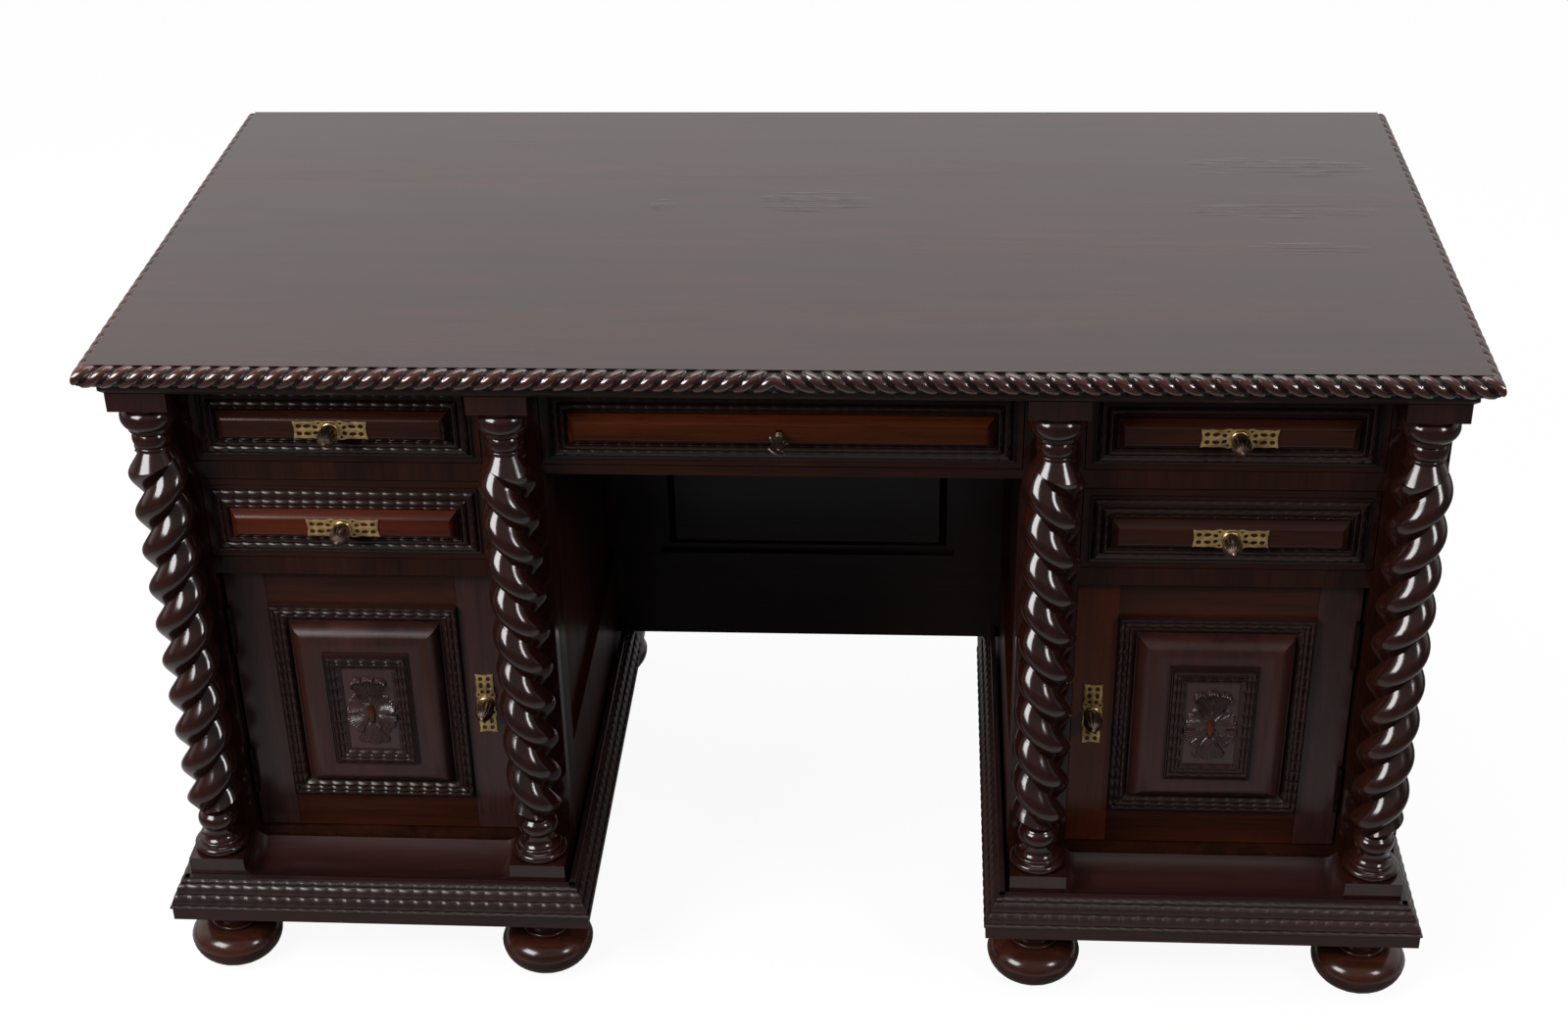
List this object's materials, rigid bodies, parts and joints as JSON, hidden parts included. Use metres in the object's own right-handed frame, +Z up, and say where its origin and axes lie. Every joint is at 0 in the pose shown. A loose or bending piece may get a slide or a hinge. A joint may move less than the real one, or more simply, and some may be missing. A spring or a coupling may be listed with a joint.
{
  "type": "office desk",
  "caption": "Twin-pedestal kneehole writing desk in dark carved hardwood with twisted corner columns, rope-edged top, ripple-framed drawers and panelled cupboards on bun feet.",
  "frame": {"origin": "on the floor, under the middle of the desk", "axes": "+X to the right along the long side as the sitter faces the desk, +Y from the sitter to the back, +Z up"},
  "size_m": [1.42, 0.73, 0.792],
  "materials": {
    "mahogany": "gloss",
    "drawer_wood": "satin",
    "brass": "satin",
    "lock_steel": "satin"
  },
  "bodies": {
    "desk": {"top_board": "mahogany", "rope_edge": "mahogany", "top_subframe": "mahogany", "modesty_panel": "mahogany", "centre_drawer_frame": "mahogany", "feet": "mahogany", "right_outer_side": "mahogany", "right_inner_side": "mahogany", "right_back_panel": "mahogany", "right_face_frame": "mahogany", "right_base_plate": "mahogany", "right_plinth_mouldings": "mahogany", "right_outer_column": "mahogany", "right_inner_column": "mahogany", "right_carcass_boards": "drawer_wood", "right_hinge_leaves": "brass", "left_outer_side": "mahogany", "left_inner_side": "mahogany", "left_back_panel": "mahogany", "left_face_frame": "mahogany", "left_base_plate": "mahogany", "left_plinth_mouldings": "mahogany", "left_outer_column": "mahogany", "left_inner_column": "mahogany", "left_carcass_boards": "drawer_wood", "left_hinge_leaves": "brass"},
    "right_upper_drawer": {"right_upper_drawer_box": "drawer_wood", "right_upper_drawer_front": "mahogany", "right_upper_drawer_ripple": "mahogany", "right_upper_drawer_pull": "brass"},
    "right_lower_drawer": {"right_lower_drawer_box": "drawer_wood", "right_lower_drawer_front": "mahogany", "right_lower_drawer_ripple": "mahogany", "right_lower_drawer_pull": "brass"},
    "right_door": {"right_door_frame": "mahogany", "right_door_panel": "mahogany", "right_door_ripples": "mahogany", "right_door_plaque": "mahogany", "right_door_pull": "brass", "right_door_hinges": "brass"},
    "left_upper_drawer": {"left_upper_drawer_box": "drawer_wood", "left_upper_drawer_front": "mahogany", "left_upper_drawer_ripple": "mahogany", "left_upper_drawer_pull": "brass"},
    "left_lower_drawer": {"left_lower_drawer_box": "drawer_wood", "left_lower_drawer_front": "mahogany", "left_lower_drawer_ripple": "mahogany", "left_lower_drawer_pull": "brass"},
    "left_door": {"left_door_frame": "mahogany", "left_door_panel": "mahogany", "left_door_ripples": "mahogany", "left_door_plaque": "mahogany", "left_door_pull": "brass", "left_door_hinges": "brass"},
    "centre_drawer": {"centre_drawer_box": "drawer_wood", "centre_drawer_front": "mahogany", "centre_drawer_ripple": "mahogany", "lock_case": "brass"},
    "lock_bolt": {"lock_bolt": "lock_steel"},
    "key": {"key": "brass"}
  },
  "joints": [
    {"name": "right_upper_drawer_slide", "type": "slide", "parent": "desk", "child": "right_upper_drawer", "axis": [0, -1, 0], "range_m": [0, 0.4]},
    {"name": "right_lower_drawer_slide", "type": "slide", "parent": "desk", "child": "right_lower_drawer", "axis": [0, -1, 0], "range_m": [0, 0.4]},
    {"name": "right_door_hinge", "type": "hinge", "parent": "desk", "child": "right_door", "pos_m": [0.6189, -0.2671, 0.32625], "axis": [0, 0, 1], "range_deg": [0, 85]},
    {"name": "left_upper_drawer_slide", "type": "slide", "parent": "desk", "child": "left_upper_drawer", "axis": [0, -1, 0], "range_m": [0, 0.4]},
    {"name": "left_lower_drawer_slide", "type": "slide", "parent": "desk", "child": "left_lower_drawer", "axis": [0, -1, 0], "range_m": [0, 0.4]},
    {"name": "left_door_hinge", "type": "hinge", "parent": "desk", "child": "left_door", "pos_m": [-0.6189, -0.2671, 0.32625], "axis": [0, 0, -1], "range_deg": [0, 85]},
    {"name": "centre_drawer_slide", "type": "slide", "parent": "desk", "child": "centre_drawer", "axis": [0, -1, 0], "range_m": [0, 0.35]},
    {"name": "key_turn", "type": "hinge", "parent": "centre_drawer", "child": "key", "pos_m": [0, -0.279, 0.691], "axis": [0, 1, 0], "range_deg": [0, 90]},
    {"name": "bolt_slide", "type": "slide", "parent": "centre_drawer", "child": "lock_bolt", "axis": [0, 0, 1], "range_m": [0, 0.008]}
  ],
  "couplings": [
    {"joint": "bolt_slide", "follows": "key_turn", "m_per_rad": 0.00509}
  ]
}
